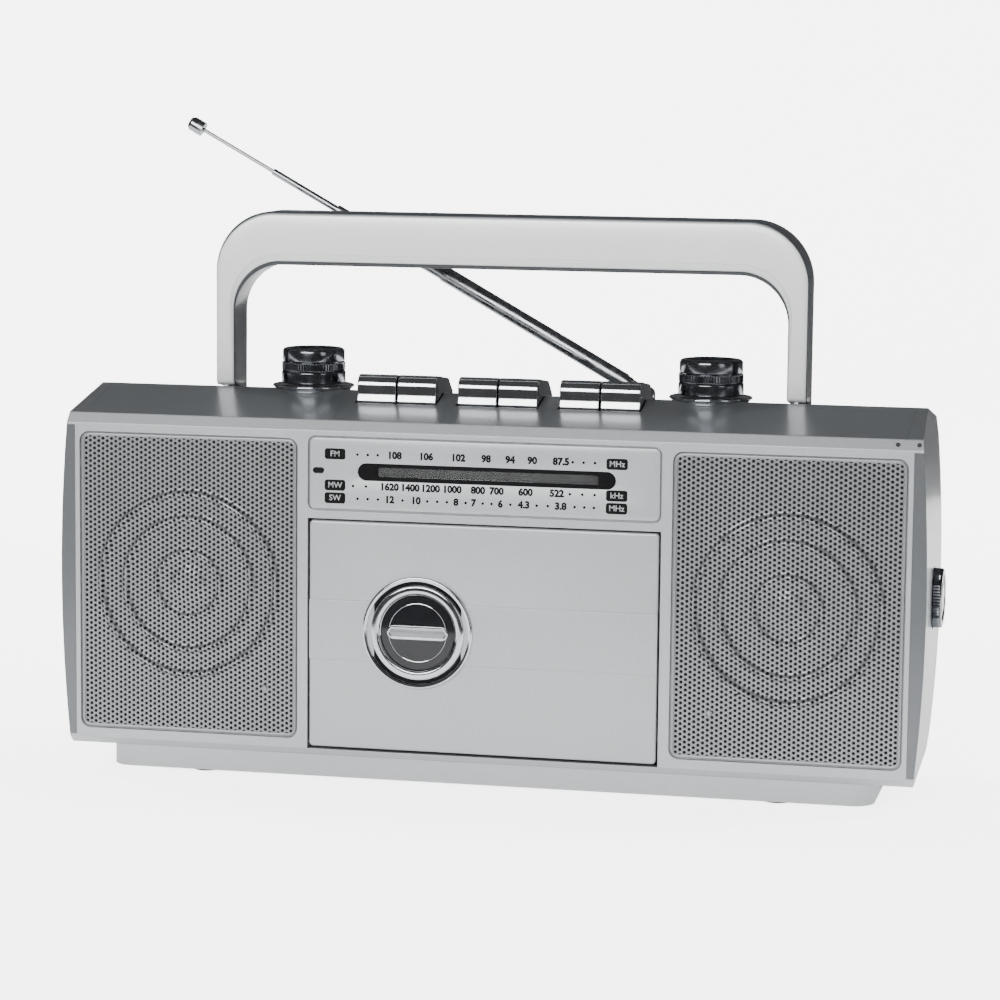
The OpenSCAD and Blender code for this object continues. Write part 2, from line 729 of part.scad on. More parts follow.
module main_board() {
  color("darkgreen") {
    block([-160, 18, 58], [-30, 19.6, 130]);
    for (p = [[-140, 80], [-110, 96], [-84, 72], [-60, 104]]) rod_y(p, 5, 6, 18 + eps);
    block([-105, 13, 112], [-80, 18 + eps, 120]);
  }
}
module transformer() {
  color("#7a6a50") {
    block([-166, 4, 15], [-132, 34, 50]);
    block([-161, -2, 21], [-137, 4 + eps, 44]);
  }
}
module ferrite_rod() {
  color("#3b3230") {
    rod_x([28, 138], 4.5, 72, 160);
    rod_x([28, 138], 5.6, 100, 130);
  }
}
module mains_inlet() {
  color("#202020") difference() {
    union() {
      block([inlet.x - 13, rear_y + 0.02, inlet.y - 9], [inlet.x + 13, rear_y + 1.2, inlet.y + 9]);
      block([inlet.x - 11, 26, inlet.y - 7], [inlet.x + 11, rear_y + 0.03, inlet.y + 7]);
    }
    along_y(30, 60) translate(inlet) pill(8, 4.5);
  }
  color("silver") for (s = [-1, 1]) rod_y(inlet + [4.3 * s, 0], 1.2, 28, 42);
}
module headphone_jack() {
  color("#202020") difference() {
    union() {
      rod_x([10, 60], 4, -175, -168);
      block([-168.01, 4, 54], [-154, 16, 66]);
    }
    rod_x([10, 60], 1.8, -180, -158);
  }
}
module microphone() { color("#303030") rod_y([164.7, 138.5], 3, front_y + wall + 0.02, front_y + wall + 5); }
module battery_contacts() {
  color("silver") {
    block([-bay_x + 0.02, 16, 20], [-bay_x + 0.8, 34, 44]);
    for (i = [0 : 2]) rod_x([25, 32.5], 8 - 2 * i, -bay_x + 0.8 + 2 * i - eps, -bay_x + 2.8 + 2 * i);
    block([bay_x - 0.8, 16, 20], [bay_x - 0.02, 34, 44]);
  }
}
module battery_cover() {
  color("slategray") difference() {
    union() {
      intersection() {
        shell();
        block([-bay_x + 0.6, 38.6, hatch_z.x], [bay_x - 0.6, 60, hatch_z.y]);
      }
      each_side() rod_x(hatch_pin, 1, bay_x - 2, bay_x + 1.4);
    }
    // finger dimple under the catch
    block([-9, 43, 46], [9, 50, 49]);
  }
}
module case_screws() {
  color("silver") for (p = screw_points) difference() {
    union() {
      rod_y(p, 3, rear_y - 1.58, rear_y - 0.2);
      rod_y(p, 1.5, 32, rear_y - 1.5);
    }
    for (a = [0, 90]) translate([p.x, rear_y - 0.2, p.y]) rotate([0, a, 0]) cube([4, 1.4, 0.7], center = true);
  }
}

front_bezel();
top_cover();
rear_cabinet();
end_cap_left();
end_cap_right();
base_tray();
rubber_feet();
grille_left();
grille_right();
speaker_frames();
speaker_cones();
speaker_magnets();
dial_panel();
dial_lens();
dial_scale();
dial_pointer();
cassette_door();
door_ring();
door_window();
cassette_holder();
deck_chassis();
supply_reel();
take_up_reel();
flywheel();
drive_motor();
motor_pulley();
drive_belt();
head_carriage();
tape_head();
pinch_roller();
key_shaft();
key_record();
key_play();
key_rewind();
key_forward();
key_stop();
key_pause();
knob_saucers();
volume_knob();
band_knob();
volume_control();
band_switch();
tuning_wheel();
tuning_capacitor();
carry_handle();
handle_ears();
aerial_swivel();
aerial_lower();
aerial_middle();
aerial_upper();
aerial_tip();
main_board();
transformer();
ferrite_rod();
mains_inlet();
headphone_jack();
microphone();
battery_contacts();
battery_cover();
case_screws();
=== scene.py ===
"""Portable radio cassette recorder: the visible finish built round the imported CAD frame.

Metres, +Z up, the front faces -Y. Shapes are worked out in millimetres and scaled once, in `piece`.
"""

import math

import bmesh
import bpy
import numpy as np
from mathutils import Matrix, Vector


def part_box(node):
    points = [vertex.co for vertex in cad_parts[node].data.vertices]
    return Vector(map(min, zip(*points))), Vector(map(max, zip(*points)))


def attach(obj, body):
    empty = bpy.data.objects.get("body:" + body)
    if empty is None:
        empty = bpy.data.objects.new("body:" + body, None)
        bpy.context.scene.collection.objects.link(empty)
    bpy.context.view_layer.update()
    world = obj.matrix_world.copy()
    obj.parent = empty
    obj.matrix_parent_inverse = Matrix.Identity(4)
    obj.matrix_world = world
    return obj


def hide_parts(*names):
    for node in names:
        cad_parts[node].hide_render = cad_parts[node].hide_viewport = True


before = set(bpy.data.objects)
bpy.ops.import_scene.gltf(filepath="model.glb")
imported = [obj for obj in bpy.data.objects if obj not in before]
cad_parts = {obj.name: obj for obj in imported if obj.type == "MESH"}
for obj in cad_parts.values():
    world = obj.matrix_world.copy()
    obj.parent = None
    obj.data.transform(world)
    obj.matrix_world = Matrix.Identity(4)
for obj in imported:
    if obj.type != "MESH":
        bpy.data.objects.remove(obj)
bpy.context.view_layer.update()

MM = 0.001
EYE = (-26.3, 63.4)               # middle of the round door window, x and z
KEY_NAMES = ("record", "play", "rewind", "forward", "stop", "pause")


# ---------------------------------------------------------------- materials

def linear(code):
    """sRGB hex to linear RGBA: c / 12.92 up to 0.04045, else ((c + 0.055) / 1.055) ^ 2.4."""
    c = np.array([int(code[i:i + 2], 16) for i in (1, 3, 5)]) / 255
    return (*np.where(c <= 0.04045, c / 12.92, ((c + 0.055) / 1.055) ** 2.4), 1.0)


def add(tree, kind, inputs=None, **settings):
    """Adds a shader node, sets its properties, and fills each named or numbered socket or links it."""
    made = tree.nodes.new("ShaderNode" + kind)
    for key, value in settings.items():
        setattr(made, key, value)
    for key, value in (inputs or {}).items():
        if isinstance(value, bpy.types.NodeSocket):
            tree.links.new(value, made.inputs[key])
        else:
            made.inputs[key].default_value = value
    return made


def blank(name):
    """A new material with only an output; returns the material, its tree and its Object coordinates."""
    material = bpy.data.materials.new(name)
    material.use_nodes = True
    tree = material.node_tree
    tree.nodes.clear()
    return material, tree, add(tree, "TexCoord").outputs["Object"]


def per_mm(size):
    """Texture scale, in cells per metre, of a pattern whose cells are size millimetres."""
    return 1000.0 / size


def close(tree, surface, normal=None, **constants):
    """Principled shader on the material output: linked sockets from surface, plain numbers from constants."""
    shader = add(tree, "BsdfPrincipled", {**surface, **({"Normal": normal} if normal else {})})
    for key, value in constants.items():
        shader.inputs[key.replace("_", " ")].default_value = value
    add(tree, "OutputMaterial", {"Surface": shader.outputs[0]})
    return shader


def tinted(tree, factor, low, high):
    """Colour that runs from low to high with the factor."""
    return add(tree, "Mix", {0: factor, 6: linear(low), 7: linear(high)}, data_type="RGBA").outputs[2]


def ranged(tree, value, low, high, start=0.0, stop=1.0):
    """Value carried from start..stop to low..high."""
    return add(tree, "MapRange", {0: value, 1: start, 2: stop, 3: low, 4: high}).outputs[0]


def metallic_lacquer(name, dark, light, metallic, roughness, coat, sparkle=0.22):
    """Aluminium-flake lacquer sprayed on moulded ABS.

    Flakes about 0.25 mm across, drawn at 0.45 mm so that they show, give a fine sparkle; the spray leaves
    an orange peel of 1.8 mm waves, and broad clouds 60 mm wide where the coat is thicker.
    """
    material, tree, place = blank(name)
    flake = add(tree, "TexVoronoi", {"Vector": place, "Scale": per_mm(0.45)}).outputs["Color"]
    grey = add(tree, "RGBToBW", {0: flake}).outputs[0]
    cloud = add(tree, "TexNoise", {"Vector": place, "Scale": per_mm(60), "Detail": 2.0}).outputs[0]
    peel = add(tree, "TexNoise", {"Vector": place, "Scale": per_mm(1.8), "Detail": 1.0}).outputs[0]
    worth = add(tree, "Math", {0: ranged(tree, grey, -sparkle, sparkle), 1: ranged(tree, cloud, 0.3, 0.7)},
                operation="ADD").outputs[0]
    soft = add(tree, "Bevel", {"Radius": 0.0004}, samples=4).outputs[0]
    skin = add(tree, "Bump", {"Height": peel, "Distance": 0.00002, "Strength": 0.6, "Normal": soft})
    close(tree, {"Base Color": tinted(tree, worth, dark, light),
                 "Roughness": ranged(tree, grey, roughness - 0.04, roughness + 0.05)},
          skin.outputs[0], Metallic=metallic, Coat_Weight=coat, Coat_Roughness=0.14)
    return material


def plating(name, tone, stain, roughness, wave_mm=9.0, wave=0.00002):
    """Bright chromium over moulded or drawn metal: a mirror with long low waves and a faint haze of handling."""
    material, tree, place = blank(name)
    wavy = add(tree, "TexNoise", {"Vector": place, "Scale": per_mm(wave_mm), "Detail": 1.0}).outputs[0]
    haze = add(tree, "TexNoise", {"Vector": place, "Scale": per_mm(5), "Detail": 5.0}).outputs[0]
    skin = add(tree, "Bump", {"Height": wavy, "Distance": wave, "Strength": 0.5})
    close(tree, {"Base Color": tinted(tree, haze, stain, tone),
                 "Roughness": ranged(tree, haze, roughness * 0.6, roughness * 1.8, 0.3, 0.7)},
          skin.outputs[0], Metallic=1.0)
    return material


def moulding(name, dark, light, roughness, grain_mm=0.6, grain=0.00003, shine=0.5):
    """Injection-moulded plastic: a spark-eroded grain from the tool and slow drifts of tone."""
    material, tree, place = blank(name)
    pits = add(tree, "TexNoise", {"Vector": place, "Scale": per_mm(grain_mm), "Detail": 3.0}).outputs[0]
    drift = add(tree, "TexNoise", {"Vector": place, "Scale": per_mm(25), "Detail": 2.0}).outputs[0]
    both = add(tree, "Math", {0: ranged(tree, pits, 0.0, 0.6), 1: ranged(tree, drift, 0.0, 0.4)},
               operation="ADD").outputs[0]
    soft = add(tree, "Bevel", {"Radius": 0.0003}, samples=4).outputs[0]
    skin = add(tree, "Bump", {"Height": pits, "Distance": grain, "Strength": 0.7, "Normal": soft})
    close(tree, {"Base Color": tinted(tree, both, dark, light),
                 "Roughness": ranged(tree, pits, roughness - 0.06, roughness + 0.1)},
          skin.outputs[0], Specular_IOR_Level=shine)
    return material


def worked_metal(name, dark, light, roughness, stretch, scratch_mm=0.4):
    """Bare metal marked by its making: streaks drawn out along one axis by turning, rolling or brushing."""
    material, tree, place = blank(name)
    drawn = add(tree, "Mapping", {"Vector": place, "Scale": stretch}).outputs[0]
    streak = add(tree, "TexNoise", {"Vector": drawn, "Scale": per_mm(scratch_mm), "Detail": 4.0}).outputs[0]
    stain = add(tree, "TexNoise", {"Vector": place, "Scale": per_mm(12), "Detail": 3.0}).outputs[0]
    both = add(tree, "Math", {0: streak, 1: stain}, operation="MULTIPLY").outputs[0]
    skin = add(tree, "Bump", {"Height": streak, "Distance": 0.00001, "Strength": 0.5})
    close(tree, {"Base Color": tinted(tree, ranged(tree, both, 0, 1, 0.1, 0.4), dark, light),
                 "Roughness": ranged(tree, streak, roughness - 0.08, roughness + 0.12)},
          skin.outputs[0], Metallic=1.0)
    return material


def clear_acrylic(name, tone, roughness, through):
    """Polished acrylic: clear to the scale behind, with moulding flow 6 mm wide and a mirror front."""
    material, tree, place = blank(name)
    flow = add(tree, "TexNoise", {"Vector": place, "Scale": per_mm(6), "Detail": 2.0}).outputs[0]
    skin = add(tree, "Bump", {"Height": flow, "Distance": 0.00001, "Strength": 0.3})
    close(tree, {"Base Color": tinted(tree, flow, tone[0], tone[1]),
                 "Roughness": ranged(tree, flow, roughness, roughness + 0.05)},
          skin.outputs[0], Transmission_Weight=through, IOR=1.49)
    return material


# the finish of each of the CAD's material slots
finishes = {
    # silver flake lacquer on ABS: pale, softly shining, sparkling close up
    "silver_lacquer": metallic_lacquer("silver_flake_lacquer_on_abs", "#A9ABAD", "#C3C5C7", 0.55, 0.40, 0.15),
    # grey flake lacquer on ABS: the darker, glossier top and cheeks
    "grey_lacquer": metallic_lacquer("grey_flake_lacquer_on_abs", "#626568", "#737679", 0.55, 0.32, 0.35, 0.1),
    # unpainted grey ABS: dull, finely grained rear moulding
    "cabinet_plastic": moulding("grained_grey_abs", "#55585C", "#696C70", 0.52),
    # stamped mild steel sprayed silver: the grille
    "grille_steel": metallic_lacquer("silver_sprayed_punched_steel", "#7F8183", "#A4A6A8", 0.6, 0.34, 0.1),
    # zinc-plated rolled steel: dull silver with rolling streaks
    "pressed_steel": worked_metal("zinc_plated_rolled_steel", "#8D9094", "#B9BCC0", 0.34, (1, 1, 0.05)),
    # vacuum-plated ABS: keys, ring and saucers
    "chromed_plastic": plating("chromium_plated_abs", "#DADCDE", "#B6B8BB", 0.06),
    # smoked chrome: the top knobs and the tuning wheel
    "dark_chrome": plating("smoked_chromium_on_abs", "#8A8D92", "#6E7175", 0.14),
    # ground steel shafts and wheels
    "bright_steel": worked_metal("ground_steel", "#9DA0A3", "#D0D3D6", 0.22, (0.05, 1, 1), 0.3),
    # nitrile rubber: near black, matt, slightly dusty
    "black_rubber": moulding("moulded_nitrile_rubber", "#191A1B", "#2B2C2D", 0.78, 0.5, 0.00004),
    # felted paper pulp: matt black cone with fibres
    "cone_paper": moulding("felted_cone_paper", "#1B1B1C", "#303031", 0.9, 0.35, 0.00006),
    # sintered ferrite: dark grey, slightly metallic grain
    "ferrite": moulding("sintered_ferrite", "#2A2A2D", "#3C3C40", 0.6, 0.25, 0.00003),
    # clear acrylic: a smooth grey pane that lets the scale plate show
    "clear_lens": clear_acrylic("clear_cast_acrylic", ("#A6A8A8", "#B4B6B6"), 0.02, 0.9),
    # smoked acrylic: shows dark, with the room mirrored on its face
    "smoked_lens": clear_acrylic("smoked_cast_acrylic", ("#17181A", "#242528"), 0.03, 0.15),
    # black polystyrene inner mouldings
    "black_plastic": moulding("black_polystyrene", "#141516", "#202123", 0.45, 0.4),
    # white acetal: waxy reels and spindles
    "white_acetal": moulding("natural_acetal", "#D8D4C6", "#E9E5D8", 0.38, 0.8, 0.00001),
    # red-painted pointer
    "red_pointer": moulding("red_enamelled_strip", "#B32618", "#CC3020", 0.35, 0.5, 0.00001),
    # turned brass pulley: rings from the tool
    "brass_turned": worked_metal("turned_brass", "#A8823C", "#D9B566", 0.25, (1, 0.05, 1), 0.3),
    # phenolic resin board: brown, faintly layered
    "board_phenolic": moulding("phenolic_paper_board", "#6B4A26", "#8A6236", 0.5, 1.2),
    # silicon-steel laminations 0.5 mm thick, varnished
    "core_steel": worked_metal("varnished_lamination_steel", "#4A3C2C", "#77695A", 0.45, (0.1, 1, 0.1), 0.5),
    # nickel-chromium plated brass tube: the aerial
    "aerial_chrome": plating("chromium_plated_brass_tube", "#AEB0B3", "#8B8E92", 0.22, 14.0),
}
# painted shade: a dark copy of the silver lacquer for the grip's rear and sides, standing in for the shade the key
# light leaves there
grip_shaded_copy = metallic_lacquer("silver_lacquer_painted_shade", "#3C3E41", "#4A4D50", 0.5, 0.36, 0.3, 0.1)
# painted light: a paler copy of the silver lacquer for the grip's face, standing in for the key light that falls on it
grip_lit_copy = metallic_lacquer("silver_lacquer_painted_light", "#E0E1E2", "#F0F1F1", 0.35, 0.4, 0.25)
# screen-printed inks on the dial, a hair above the lacquer
black_ink = moulding("black_screen_ink", "#0A0A0B", "#121213", 0.5, 0.3, 0.000004, 0.1)
silver_ink = moulding("silver_screen_ink", "#A9ABAD", "#BBBDBF", 0.45, 0.3, 0.000004)
# matt black polystyrene mask behind the dial window's edge; also worn by the painted shade on the floor of the eye
# ring's groove
mask_black = moulding("matt_black_polystyrene_mask", "#08080A", "#101012", 0.6, 0.4, 0.00001, 0.1)


def acoustic_cloth():
    """Black acoustic cloth behind the grille: plain weave, threads 0.8 mm apart, coarser than the real 0.4 mm."""
    material, tree, place = blank("woven_acoustic_cloth")
    askew = add(tree, "Mapping", {"Vector": place, "Rotation": (0, math.radians(45), 0)}).outputs[0]
    waves = per_mm(0.8) / 6.2832
    warp = add(tree, "TexWave", {"Vector": askew, "Scale": waves}, bands_direction="X").outputs[1]
    weft = add(tree, "TexWave", {"Vector": askew, "Scale": waves}, bands_direction="Z").outputs[1]
    weave = add(tree, "Math", {0: warp, 1: weft}, operation="MAXIMUM").outputs[0]
    skin = add(tree, "Bump", {"Height": weave, "Distance": 0.00015, "Strength": 0.8})
    close(tree, {"Base Color": tinted(tree, weave, "#0B0B0C", "#1D1D1F")}, skin.outputs[0],
          Roughness=0.95, Sheen_Weight=0.2)
    return material


cloth_black = acoustic_cloth()

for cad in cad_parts.values():
    for held in cad.material_slots:
        held.material = finishes[held.material.name.split(".")[0]]


# ---------------------------------------------------------------- shape tools

def arc(centre, radius, start, stop, count=9):
    """Points centre + radius (cos t, sin t), with t in even steps from start to stop degrees."""
    t = np.radians(np.linspace(start, stop, count))[:, None]
    return np.array(centre, float) + radius * np.hstack([np.cos(t), np.sin(t)])


def rounded(corners, radii, count=7):
    """Closed outline in which corner i is an arc of radius r_i that touches both of its edges.

    With unit edges u and v leaving the corner at half angle h, the centre lies r / sin h along u + v,
    and the arc swings from the foot on u to the foot on v by spherical interpolation.
    """
    p = np.asarray(corners, float)
    r = np.broadcast_to(np.asarray(radii, float), len(p))[:, None]
    u, v = (np.roll(p, s, 0) - p for s in (1, -1))
    u, v = u / np.linalg.norm(u, axis=1, keepdims=True), v / np.linalg.norm(v, axis=1, keepdims=True)
    h = 0.5 * np.arccos(np.clip((u * v).sum(1, keepdims=True), -1, 1))
    out = u + v
    out = out / np.maximum(np.linalg.norm(out, axis=1, keepdims=True), 1e-9)
    centre = p + out * r / np.sin(h)
    a, b = p + u * r / np.tan(h) - centre, p + v * r / np.tan(h) - centre
    swing = np.pi - 2 * h
    s = np.linspace(0, 1, count)[None, :, None]
    w = swing[:, :, None]
    turn = np.sin((1 - s) * w) * a[:, None] + np.sin(s * w) * b[:, None]
    return (centre[:, None] + turn / np.maximum(np.sin(w), 1e-9)).reshape(-1, 2)


def box_outline(x0, x1, z0, z1, r, count=7):
    """Anticlockwise rectangle with corners of radius r."""
    return rounded([(x0, z0), (x1, z0), (x1, z1), (x0, z1)], r, count)


def pill_outline(centre, half, r, count=17):
    """Anticlockwise stadium: two half circles of radius r, half the length minus r either side of the centre."""
    x, z = centre
    return np.vstack([arc((x + half - r, z), r, -90, 90, count), arc((x - half + r, z), r, 90, 270, count)])


def shrunk(outline, depth):
    """Outline moved inwards by depth along the mitre of each point's two edges."""
    before, after = outline - np.roll(outline, 1, 0), np.roll(outline, -1, 0) - outline
    normals = []
    for edge in (before, after):
        length = np.linalg.norm(edge, axis=1, keepdims=True)
        edge = edge / np.maximum(length, 1e-9)
        normals.append(np.column_stack([-edge[:, 1], edge[:, 0]]))
    m, n = normals
    return outline + depth * (m + n) / np.maximum(1 + (m * n).sum(1, keepdims=True), 0.2)


def surface(points, wrap_u=False, wrap_v=False):
    """Quads over a grid of points (u, v, xyz); a wrapped direction joins its last line to its first."""
    rows, cols = points.shape[:2]
    index = np.arange(rows * cols).reshape(rows, cols)
    if wrap_u:
        index = np.vstack([index, index[:1]])
    if wrap_v:
        index = np.hstack([index, index[:, :1]])
    quads = np.stack([index[:-1, :-1], index[1:, :-1], index[1:, 1:], index[:-1, 1:]], -1).reshape(-1, 4)
    return points.reshape(-1, 3), quads.tolist()


def together(*parts):
    """Several (points, faces) joined into one."""
    points, faces, base = [], [], 0
    for p, f in parts:
        points.append(p)
        faces += [[i + base for i in face] for face in f]
        base += len(p)
    return np.vstack(points), faces


def piece(name, shape, slot, body, replaces=(), crease=32, material=None):
    """Object from (points in mm, faces): doubles merged, normals outwards, smooth but for edges above crease.

    It rides on body, stands in for the CAD nodes in replaces, and wears its slot's finish if not given another.
    """
    points, faces = shape
    mesh = bpy.data.meshes.new(name)
    mesh.from_pydata((points * MM).tolist(), [], faces)
    work = bmesh.new()
    work.from_mesh(mesh)
    bmesh.ops.remove_doubles(work, verts=work.verts, dist=2e-6)
    bmesh.ops.dissolve_degenerate(work, edges=work.edges, dist=1e-7)
    bmesh.ops.recalc_face_normals(work, faces=work.faces)
    work.to_mesh(mesh)
    work.free()
    mesh.shade_smooth()
    mesh.set_sharp_from_angle(angle=math.radians(crease))
    mesh.materials.append(material or finishes[slot])
    made = bpy.data.objects.new(name, mesh)
    bpy.context.scene.collection.objects.link(made)
    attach(made, body)
    if replaces:
        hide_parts(*replaces)
    return made


def turned(profile, segments=96, flutes=None):
    """Lathe work about +Z: point (r, h) goes to (r cos t, r sin t, h).

    flutes = (count, depth, first, last) lowers the profile's points first..last by depth (1 + cos(count t)) / 2.
    """
    profile = np.asarray(profile, float)
    t = np.linspace(0, 2 * np.pi, segments, endpoint=False)[None, :]
    r = np.repeat(profile[:, :1], segments, 1)
    if flutes:
        count, depth, first, last = flutes
        r[first:last] -= depth * (1 + np.cos(count * t)) / 2
    h = np.repeat(profile[:, 1:2], segments, 1)
    return surface(np.stack([r * np.cos(t), r * np.sin(t), h], -1), wrap_v=True)


def facing(shape, centre, axis):
    """Lathe work turned so that its +Z points along an axis, and moved to centre."""
    p, faces = shape
    x, y, z = p.T
    p = {"up": (x, y, z), "front": (x, -z, y), "right": (z, x, y)}[axis]
    return np.column_stack(p) + np.array(centre, float), faces


def soft_bar(outline, x0, x1, edge, steps=4):
    """Y-Z outline carried along X, its ends rounded by edge: at angle a the outline has shrunk by
    edge (1 - sin a) and lies edge (1 - cos a) from the end."""
    a = np.linspace(0, np.pi / 2, steps)
    depth = edge * (1 - np.sin(a))
    along = edge * (1 - np.cos(a))
    stations = [(x0 + s, d) for s, d in zip(along, depth)] + [(x1 - s, d) for s, d in zip(along[::-1], depth[::-1])]
    rows = [np.column_stack([np.full(len(outline), x), shrunk(outline, d)]) for x, d in stations]
    p, faces = surface(np.stack(rows), wrap_v=True)
    n = len(outline)
    return p, faces + [list(range(n))[::-1], list(range(len(p) - n, len(p)))]


def stage_curve(name, kind):
    """A new curve and the object that carries it for as long as it takes to turn it into a mesh."""
    curve = bpy.data.curves.new(name, kind)
    holder = bpy.data.objects.new(name, curve)
    bpy.context.scene.collection.objects.link(holder)
    return curve, holder


def meshed(holder):
    """Columns x, y and z of the vertices of a carried curve's mesh, and its faces; the carrier is then removed."""
    mesh = bpy.data.meshes.new_from_object(holder.evaluated_get(bpy.context.evaluated_depsgraph_get()))
    co = np.zeros(len(mesh.vertices) * 3)
    mesh.vertices.foreach_get("co", co)
    faces = [list(f.vertices) for f in mesh.polygons]
    curve = holder.data
    bpy.data.objects.remove(holder)
    bpy.data.curves.remove(curve)
    bpy.data.meshes.remove(mesh)
    return co.reshape(-1, 3).T, faces


def plate(outlines, y_front, y_back, edge, steps=3):
    """Flat moulding facing -Y with rounded front and back edges; outlines after the first are holes.

    It is a filled flat curve given its thickness and bevel, made a mesh, then stood up by (x, y, z) -> (x, -z, y).
    """
    curve, holder = stage_curve("plate", "CURVE")
    curve.dimensions, curve.fill_mode = "2D", "BOTH"
    curve.extrude = ((y_back - y_front) / 2 - edge) * MM
    curve.bevel_depth, curve.offset = edge * MM, -edge * MM
    curve.bevel_resolution = steps
    for i, outline in enumerate(outlines):
        keep = np.linalg.norm(outline - np.roll(outline, 1, 0), axis=1) > 1e-4
        line = outline[keep][::-1] if i else outline[keep]
        spline = curve.splines.new("POLY")
        spline.points.add(len(line) - 1)
        flat, weight = np.zeros(len(line)), np.ones(len(line))
        spline.points.foreach_set("co", np.column_stack([line * MM, flat, weight]).ravel())
        spline.use_cyclic_u = True
    bpy.context.view_layer.update()
    points, faces = meshed(holder)
    x, y, z = points / MM
    return np.column_stack([x, (y_front + y_back) / 2 - z, y]), faces


CAPITAL = 0.7                     # height of a capital in a typeface of size 1


def lettering(words, bold, thick=0.04):
    """Flat words standing on the front, strokes fattened by bold: each is (text, x, z, height, y of its face)."""
    holders = []
    for text, x, z, height, y in words:
        curve, holder = stage_curve("word", "FONT")
        curve.body, curve.align_x, curve.align_y = text, "CENTER", "CENTER"
        curve.size, curve.extrude, curve.resolution_u = height / CAPITAL, thick / 2, 3
        curve.offset = bold
        holders.append((holder, x, z, y))
    bpy.context.view_layer.update()
    parts = []
    for holder, x, z, y in holders:
        (a, b, c), faces = meshed(holder)
        parts.append((np.column_stack([x + a, y + thick / 2 - c, z + b]), faces))
    return together(*parts)


# ---------------------------------------------------------------- grilles

GRILLE_W, GRILLE_H, GRILLE_R = 91.5, 122.0, 3.5
GRILLE_X, GRILLE_Z = 123.05, 79.0
HOLE_PITCH, HOLE_R = 2.1, 0.7
SHEET_Y, SHEET_THICK = -43.5, 0.5
SHEET_INSET = 0.3                 # the net of holes ends this far inside the rim's outer edge
CELL_INSET = 0.7                  # cells whose middles lie nearer the edge than this are left out,
CORNER_REACH = 2.9                # and so are those that lie farther than this from a corner arc's centre
# radius, width and height of each bead pressed into the sheet
BEADS = ((37.2, 4.0, 1.9), (27.0, 3.8, 1.7), (13.4, 3.4, 1.4))
BOSS_R, BOSS_H, BOSS_FALL = 8.2, 1.15, 3
RIVET_R = 1.25
CLOTH_GAP, CLOTH_THICK = 0.85, 0.2


def pressed(x, z):
    """Rise of the sheet at distance d from the speaker's middle: a cos^2 ridge for each bead, and a flat-topped
    boss that falls away over BOSS_FALL at its rim."""
    d = np.hypot(x, z)
    rise = np.zeros_like(d)
    for r, w, h in BEADS:
        rise += h * np.cos(np.clip((d - r) / w, -0.5, 0.5) * np.pi) ** 2
    fall = np.clip((d - BOSS_R + BOSS_FALL) / BOSS_FALL, 0, 1)
    return rise + BOSS_H * (0.5 + 0.5 * np.cos(fall * np.pi))


def held_in(x, z, half_w, half_h, r):
    """Moves points that lie outside a rounded rectangle to its nearest edge."""
    cx, cz = np.clip(x, -half_w + r, half_w - r), np.clip(z, -half_h + r, half_h - r)
    dx, dz = x - cx, z - cz
    over = np.maximum(np.hypot(dx, dz) / r, 1.0)
    return cx + dx / over, cz + dz / over


def punched_sheet():
    """Net of hexagonal cells whose columns stand 1.819 mm apart: each cell is a ring from its hexagon's corners
    and edge middles to a round hole, and the hole's wall runs back through the sheet."""
    cols, rows = np.arange(-27, 28), np.arange(-32, 33)
    c, r = (m.ravel() for m in np.meshgrid(cols, rows))
    mid_x = c * HOLE_PITCH * math.cos(math.pi / 6)
    mid_z = (r + 0.5 * (c % 2)) * HOLE_PITCH
    half_w, half_h = GRILLE_W / 2, GRILLE_H / 2
    inside = (np.abs(mid_x) < half_w - CELL_INSET) & (np.abs(mid_z) < half_h - CELL_INSET)
    corner_x, corner_z = half_w - GRILLE_R, half_h - GRILLE_R
    inside &= np.hypot(np.maximum(np.abs(mid_x) - corner_x, 0), np.maximum(np.abs(mid_z) - corner_z, 0)) < CORNER_REACH
    mid_x, mid_z = mid_x[inside, None], mid_z[inside, None]
    t = np.radians(np.arange(12) * 30.0)[None]
    reach = np.where(np.arange(12) % 2 == 0, HOLE_PITCH / math.sqrt(3), HOLE_PITCH / 2)[None]
    rings = []
    for radius, back in ((reach, 0.0), (HOLE_R, 0.0), (HOLE_R, SHEET_THICK)):
        x, z = held_in(mid_x + radius * np.cos(t), mid_z + radius * np.sin(t),
                       half_w - SHEET_INSET, half_h - SHEET_INSET, GRILLE_R - SHEET_INSET)
        rings.append(np.stack([x, SHEET_Y - pressed(x, z) + back, z], -1))
    points = np.stack(rings, 1)
    index = np.arange(len(points) * 36).reshape(len(points), 3, 12)
    nxt = np.roll(index, -1, 2)
    quads = np.stack([index[:, :-1], nxt[:, :-1], nxt[:, 1:], index[:, 1:]], -1).reshape(-1, 4)
    return points.reshape(-1, 3), quads.tolist()


def rolled_rim(half_w, half_h, r, y, width, height):
    """Rounded rectangle swept by a low half-ellipse, width across and height proud, closed 0.4 mm behind."""
    t = np.linspace(0, np.pi, 7)
    across, proud = width / 2 * (1 - np.cos(t)), height * np.sin(t)
    base = box_outline(-half_w, half_w, -half_h, half_h, r, 9)
    rows = [np.column_stack([o[:, 0], np.full(len(o), y - p), o[:, 1]])
            for o, p in ((shrunk(base, a), p) for a, p in zip(across, proud))]
    behind = np.array([0, 0.4, 0])
    return surface(np.stack([rows[0] + behind, *rows, rows[-1] + behind]), wrap_u=True, wrap_v=True)


